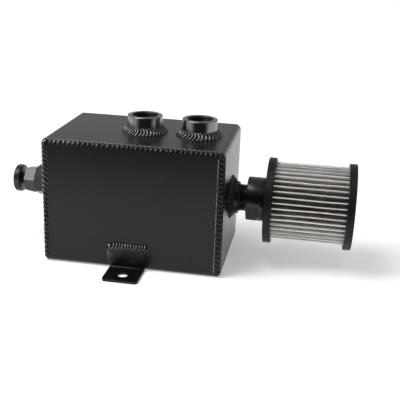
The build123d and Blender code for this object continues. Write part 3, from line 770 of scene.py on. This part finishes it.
def tapped_bung(side):
    """A turned bung with a broken outer edge and a real thread in its bore."""
    turns = [2 * math.pi * j / BUNG_COLUMNS for j in range(BUNG_COLUMNS)]
    lip = LEAD_LIP * PORT_LEAD
    outside = [(BUNG_RADIUS, 0)]
    for inward, down in EDGE_ROUND:
        outside.append((BUNG_RADIUS - inward * BUNG_EDGE, BUNG_HEIGHT - down * BUNG_EDGE))
    outside.append((PORT_CORE + PORT_LEAD, BUNG_HEIGHT))
    outside.append((PORT_CORE + PORT_LEAD - lip, BUNG_HEIGHT - lip))
    top = BUNG_HEIGHT - PORT_LEAD
    rows = round(top / THREAD_PITCH * THREAD_STEPS)
    place = port_place(side)
    points = []
    for radius, height in outside:
        points += [on_ring(place, radius, turn, height) for turn in turns]
    for i in range(rows + 1):
        height = top * (1 - i / rows)
        points += [on_ring(place, thread_radius(turn, height), turn, height) for turn in turns]
    total = len(outside) + rows + 1
    faces = ring_faces(total, BUNG_COLUMNS)
    name, node = f"tapped_bung_{side}", f"inlet_bung_{side}"
    piece = new_piece(name, points, faces, "tank", [node], PORT_METAL)
    turn_outward(piece)
    piece.data.set_sharp_from_angle(angle=SHARP_ANGLE)
    # the lead-in and the thread take the darker bore coat, painted shade in the bore
    piece.data.materials.append(BORE_SHADE_COAT)
    lead_in = len(outside) - 2
    for face in piece.data.polygons[lead_in * BUNG_COLUMNS : (total - 1) * BUNG_COLUMNS]:
        face.material_index = 1
    return piece


# Filter element


def pleat_points(lean, pinch):
    """One pleat's outer line as (radius, place along the arc, lean, ridge value) from valley to valley."""

    def flank(share, side):
        foot = VALLEY_HALF - FOLD_HALF
        across = foot - share * (foot - RIDGE_HALF) - pinch * math.sin(math.pi * share)
        radius = VALLEY_RADIUS + share * (ELEMENT_RADIUS - FLANK_DROP - VALLEY_RADIUS)
        # the painted highlight of the ridge fades in up the flank
        return radius, side * across, lean * share, FLANK_SHINE * share**3

    line = [(VALLEY_RADIUS, -VALLEY_HALF, 0.0, 0.0), (VALLEY_RADIUS, FLOOR_HALF - VALLEY_HALF, 0.0, 0.0)]
    line += [flank(share, -1) for share in FLANK_SHARES]
    for angle in map(math.radians, RIDGE_ANGLES):
        radius = ELEMENT_RADIUS - RIDGE_ROUND * RIDGE_HALF * (1 - math.sin(angle))
        line.append((radius, RIDGE_HALF * math.cos(angle), lean, 1.0))
    line += [flank(share, 1) for share in reversed(FLANK_SHARES)]
    line.append((VALLEY_RADIUS, VALLEY_HALF - FLOOR_HALF, 0.0, 0.0))
    return line


def pleat_rings():
    """Rings of (radius, turn, ridge value) from one end of the element to the other."""
    draw = random.Random(PLEAT_SEED)
    leans = [draw.uniform(*LEANS_MM) * MM for _ in range(PLEAT_COUNT)]
    waves = [(draw.uniform(0, 2 * math.pi), draw.uniform(*WAVES_MM) * MM) for _ in range(PLEAT_COUNT)]
    pinches = [draw.uniform(*PINCHES_MM) * MM for _ in range(PLEAT_COUNT)]
    rings = []
    for row in range(PLEAT_ROWS + 1):
        share = row / PLEAT_ROWS
        loose = math.sin(math.pi * share)
        ring = []
        for i in range(PLEAT_COUNT):
            middle = 2 * math.pi * i / PLEAT_COUNT
            phase, wave = waves[i]
            lean = leans[i] * loose + wave * loose * math.sin(2 * math.pi * share + phase)
            for radius, across, shift, ridge in pleat_points(lean, pinches[i] * loose):
                ring.append((radius, middle + (across + shift) / radius, ridge))
        rings.append(ring)
    return rings


def pleated_element():
    """A folded sheet of woven wire with slightly uneven pleats."""
    low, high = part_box("filter_element")
    rings = pleat_rings()
    columns = len(rings[0])
    outline = [(radius * math.cos(turn), radius * math.sin(turn)) for radius, turn, _ in rings[0]]
    along = [0.0]
    for before, after in zip(outline, outline[1:]):
        along.append(along[-1] + math.dist(before, after))
    points, sheet, ridges = [], [], []
    for skin in (0.0, MESH_THICKNESS):
        for row, ring in enumerate(rings):
            x = low.x + (high.x - low.x) * row / PLEAT_ROWS
            for j, (radius, turn, ridge) in enumerate(ring):
                depth = radius - skin
                ridges.append(ridge)
                points.append((x, depth * math.sin(turn), AXIS_HEIGHT + depth * math.cos(turn)))
                sheet.append((along[j] / WIRE_PITCH, (x - low.x) / WIRE_PITCH))
    rows = PLEAT_ROWS + 1
    faces = grid_faces(rows, columns, wrap=True)
    shift = rows * columns
    faces += [tuple(k + shift for k in reversed(face)) for face in grid_faces(rows, columns, wrap=True)]
    for row in (0, rows - 1):
        for j in range(columns):
            here, there = row * columns + j, row * columns + (j + 1) % columns
            faces.append((here, there, shift + there, shift + here))
    replaced = ["filter_element"]
    piece = new_piece("pleated_wire", points, faces, "breather_filter", replaced, WIRE)
    layer = piece.data.uv_layers.new(name="sheet")
    for loop in piece.data.loops:
        layer.data[loop.index].uv = sheet[loop.vertex_index]
    mark_ridges(piece, ridges)
    return piece


seam_beads()
tab_beads()
skirt_beads()
for side in ("drain_side", "breather_side"):
    tapped_bung(side)
pleated_element()


# Soft edges on the pieces that keep their solids

MERGE_REACH = 1e-6  # points nearer than this are joined before the edges are softened
SOFT_EDGES = {
    "front_tab": 0.35 * MM,
    "rear_tab": 0.35 * MM,
    "drain_adapter": 0.3 * MM,
    "drain_valve_body": 0.3 * MM,
    "breather_adapter": 0.3 * MM,
}

for name, width in SOFT_EDGES.items():
    merge = nodes[name].modifiers.new("merge", "WELD")
    merge.merge_threshold = MERGE_REACH
    soft = nodes[name].modifiers.new("soft_edges", "BEVEL")
    soft.width = width
    soft.segments = 2
    soft.limit_method = "ANGLE"
    soft.angle_limit = SHARP_ANGLE
    soft.harden_normals = True


# Stage

ROOM_AWAY = (-0.2, 0.98, 0)  # the way out of the dark part of the room, level
# A fade is where it starts and ends, and the strength at its start and at its end.
ROOM_FADE = (-0.8, -0.45, 0.03, 1.0)  # from the dark part of the room outward
SKY_FADE = (0.02, 0.2, 1.0, 0.4)  # from the horizon upward
AMBIENT = 0.45  # strength of the plain ambient light
KEY_LAMP = {"place": (-0.5, -0.3, 1.3), "target": (0.04, 0, 0.05), "size": (0.7, 0.7), "power": 9.0}
SIDE_LAMP = {"place": (-0.89, -0.56, 1.07), "target": (0, 0, 0.05), "size": (0.4, 0.4), "power": 5.6}
FLOOR_GLOW = (0.29, 0.85)  # under the part and far away
FLOOR_GLOW_REACH = (0.3, 1.2)  # distances between which it grows
FLOOR_REACH = 3.0  # to the sides and to the rear
FLOOR_FRONT = 0.33  # to the front, past the picture's lower edge
FLOOR_TILT_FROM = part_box("front_tab")[1].x  # the feet's edge that the can rests on
FLOOR_TILT_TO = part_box("base_weld_breather_end")
LEAN = math.atan2(FLOOR_TILT_TO[0].z, FLOOR_TILT_TO[1].x - BEAD_INSET - FLOOR_TILT_FROM)


def seen_rays(finish):
    """1 for rays of the camera, of gloss and of glass."""
    rays = finish.node("ShaderNodeLightPath")
    either = finish.math("MAXIMUM", rays.outputs["Is Camera Ray"], rays.outputs["Is Glossy Ray"])
    return finish.math("MAXIMUM", either, rays.outputs["Is Transmission Ray"])


def floor():
    """A pale floor under the feet and the tank's lower edge, on which the can leans a little."""
    rise = math.tan(LEAN)
    places = [(x, y) for y in (-FLOOR_FRONT, FLOOR_REACH) for x in (-FLOOR_REACH, FLOOR_REACH)]
    corners = [(x, y, (x - FLOOR_TILT_FROM) * rise) for x, y in places]
    mesh = bpy.data.meshes.new("floor")
    mesh.from_pydata(corners, [], [(0, 1, 3, 2)])
    made = Finish("floor", (0.93, 0.93, 0.93), 0.9, specular=0.0)
    made.colour_from(made.colours(made.noise(3, 2), [(0.0, (0.92, 0.92, 0.92)), (1.0, (0.94, 0.94, 0.94))]))
    away = made.node("ShaderNodeVectorMath", operation="LENGTH")
    made.link(made.place, away.inputs[0])
    glow = made.span(away.outputs["Value"], *FLOOR_GLOW, *FLOOR_GLOW_REACH)
    made.shader.inputs["Emission Color"].default_value = (1, 1, 1, 1)
    made.link(made.math("MULTIPLY", glow, seen_rays(made)), made.shader.inputs["Emission Strength"])
    mesh.materials.append(made.material)
    plane = bpy.data.objects.new("floor", mesh)
    bpy.context.scene.collection.objects.link(plane)


def lamp(name, place, target, size, power):
    """A soft rectangular lamp that points at a target."""
    data = bpy.data.lights.new(name, "AREA")
    data.shape = "RECTANGLE"
    data.size, data.size_y = size
    data.energy = power
    made = bpy.data.objects.new(name, data)
    made.location = place
    made.rotation_mode = "QUATERNION"
    made.rotation_quaternion = (Vector(target) - Vector(place)).to_track_quat("-Z", "Y")
    bpy.context.scene.collection.objects.link(made)
    return made


def surroundings(ambient):
    """Plain ambient light. The camera sees white all round; gloss and glass see white low down, which
    fades to grey higher up and to the dark of the room on the camera's side."""
    world = bpy.data.worlds.new("surroundings")
    bpy.context.scene.world = world
    world.use_nodes = True
    tree = world.node_tree
    tree.nodes.clear()

    def joined(operation, first, second):
        made = tree.nodes.new("ShaderNodeMath")
        made.operation = operation
        tree.links.new(first, made.inputs[0])
        tree.links.new(second, made.inputs[1])
        return made.outputs[0]

    def faded(value, fade):
        made = tree.nodes.new("ShaderNodeMapRange")
        for socket, number in zip(made.inputs[1:5], fade):
            socket.default_value = number
        tree.links.new(value, made.inputs["Value"])
        return made.outputs["Result"]

    def background(strength):
        made = tree.nodes.new("ShaderNodeBackground")
        made.inputs["Color"].default_value = (1, 1, 1, 1)
        made.inputs["Strength"].default_value = strength
        return made

    rays = tree.nodes.new("ShaderNodeLightPath").outputs
    outward = tree.nodes.new("ShaderNodeTexCoord").outputs["Generated"]
    direction = tree.nodes.new("ShaderNodeSeparateXYZ")
    tree.links.new(outward, direction.inputs["Vector"])
    upward = faded(direction.outputs["Z"], SKY_FADE)
    away = tree.nodes.new("ShaderNodeVectorMath")
    away.operation = "DOT_PRODUCT"
    away.inputs[1].default_value = ROOM_AWAY
    tree.links.new(outward, away.inputs[0])
    rearward = faded(away.outputs["Value"], ROOM_FADE)
    light = background(ambient)
    seen = background(1.0)
    room = joined("MULTIPLY", upward, rearward)
    tree.links.new(joined("MAXIMUM", room, rays["Is Camera Ray"]), seen.inputs["Strength"])
    gloss = joined("MAXIMUM", rays["Is Glossy Ray"], rays["Is Transmission Ray"])
    mix = tree.nodes.new("ShaderNodeMixShader")
    tree.links.new(joined("MAXIMUM", gloss, rays["Is Camera Ray"]), mix.inputs["Fac"])
    tree.links.new(light.outputs[0], mix.inputs[1])
    tree.links.new(seen.outputs[0], mix.inputs[2])
    output = tree.nodes.new("ShaderNodeOutputWorld")
    tree.links.new(mix.outputs[0], output.inputs["Surface"])


CAMERA_TURN = math.radians(8.97)
CAMERA_RISE = math.radians(19.19)
CAMERA_ROLL = math.radians(2.26)
CAMERA_DISTANCE = 651.06 * MM
CAMERA_TARGET = Vector((50.23, 0, 47.9)) * MM
CAMERA_LENS = 67.74  # in the same units as the sensor's width
CAMERA_SENSOR = 36.0
CAMERA_CLIP = (0.01, 50.0)


def camera():
    """The photograph's view."""
    back = Vector(
        (
            math.sin(CAMERA_TURN) * math.cos(CAMERA_RISE),
            -math.cos(CAMERA_TURN) * math.cos(CAMERA_RISE),
            math.sin(CAMERA_RISE),
        )
    )
    level = (-back).cross(Vector((0, 0, 1))).normalized()
    upright = level.cross(-back)
    right = math.cos(CAMERA_ROLL) * level + math.sin(CAMERA_ROLL) * upright
    up = math.cos(CAMERA_ROLL) * upright - math.sin(CAMERA_ROLL) * level
    turn = Matrix((right, up, back)).transposed()
    data = bpy.data.cameras.new("camera")
    data.sensor_width = CAMERA_SENSOR
    data.lens = CAMERA_LENS
    data.clip_start, data.clip_end = CAMERA_CLIP
    made = bpy.data.objects.new("camera", data)
    made.matrix_world = Matrix.Translation(CAMERA_TARGET + back * CAMERA_DISTANCE) @ turn.to_4x4()
    bpy.context.scene.collection.objects.link(made)
    bpy.context.scene.camera = made


bpy.context.scene.view_settings.view_transform = "Standard"
floor()
surroundings(AMBIENT)
lamp("key", **KEY_LAMP)
lamp("side", **SIDE_LAMP)
camera()

bpy.context.view_layer.update()
